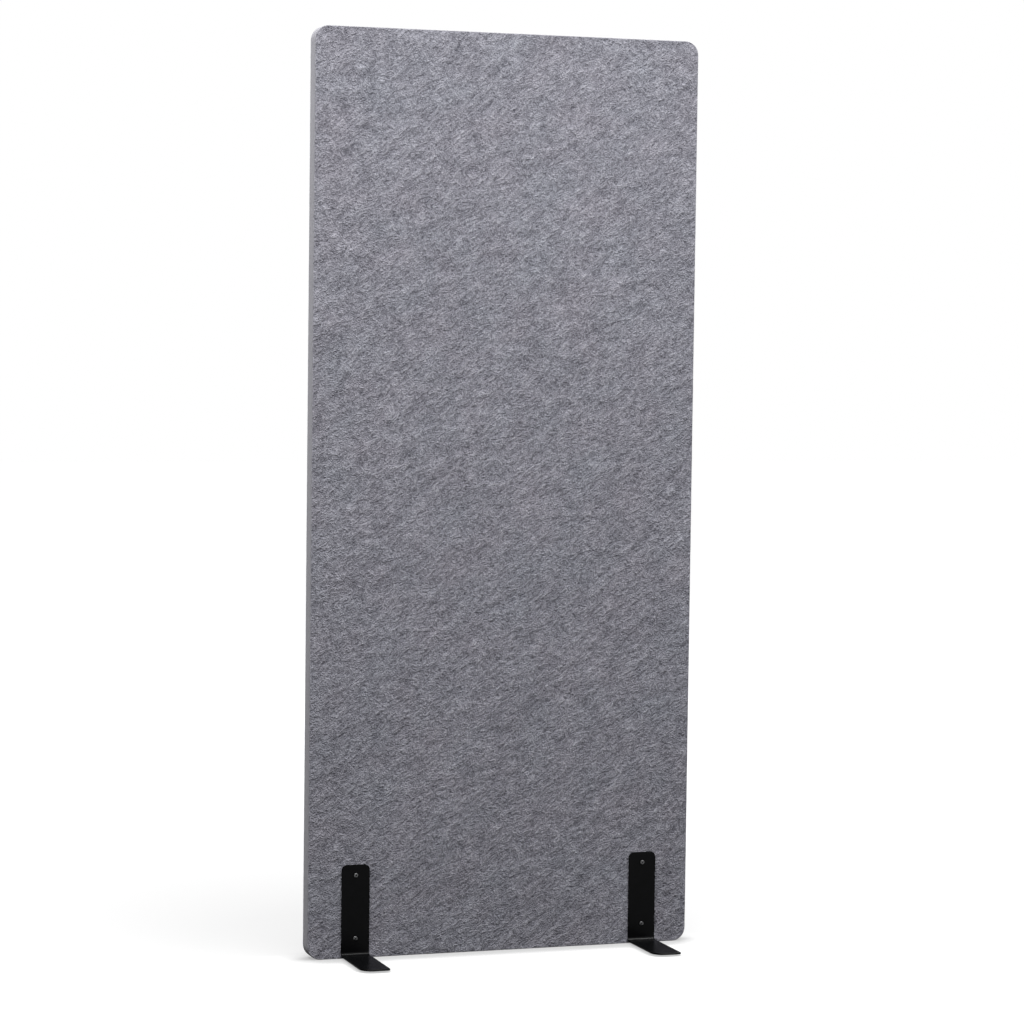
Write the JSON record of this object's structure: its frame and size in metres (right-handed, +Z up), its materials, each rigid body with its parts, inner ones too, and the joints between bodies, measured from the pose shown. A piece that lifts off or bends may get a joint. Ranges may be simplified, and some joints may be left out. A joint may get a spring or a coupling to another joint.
{
  "type": "acoustic divider screen",
  "caption": "Tall free-standing acoustic screen: a felt-faced board with rounded corners, held upright by bent black steel feet bolted through it from front to rear.",
  "frame": {"origin": "on the floor, under the middle of the board, half way between its front and rear faces", "axes": "+X along the width to the right as seen from the front, -Y out of the front face, +Z up"},
  "size_m": [0.7, 0.298, 1.6],
  "materials": {
    "pressed_fibre": "matte",
    "heather_felt": "matte",
    "black_powder_coat": "satin",
    "zinc_plate": "satin",
    "pad_rubber": "matte"
  },
  "bodies": {
    "root": {"board_core": "pressed_fibre", "front_felt_skin": "heather_felt", "rear_felt_skin": "heather_felt", "front_left_foot_bracket": "black_powder_coat", "front_right_foot_bracket": "black_powder_coat", "rear_left_foot_bracket": "black_powder_coat", "rear_right_foot_bracket": "black_powder_coat", "front_left_foot_pad": "pad_rubber", "front_right_foot_pad": "pad_rubber", "rear_left_foot_pad": "pad_rubber", "rear_right_foot_pad": "pad_rubber", "left_lower_screw": "zinc_plate", "left_upper_screw": "zinc_plate", "right_lower_screw": "zinc_plate", "right_upper_screw": "zinc_plate", "left_lower_sleeve_nut": "zinc_plate", "left_upper_sleeve_nut": "zinc_plate", "right_lower_sleeve_nut": "zinc_plate", "right_upper_sleeve_nut": "zinc_plate"}
  },
  "joints": []
}
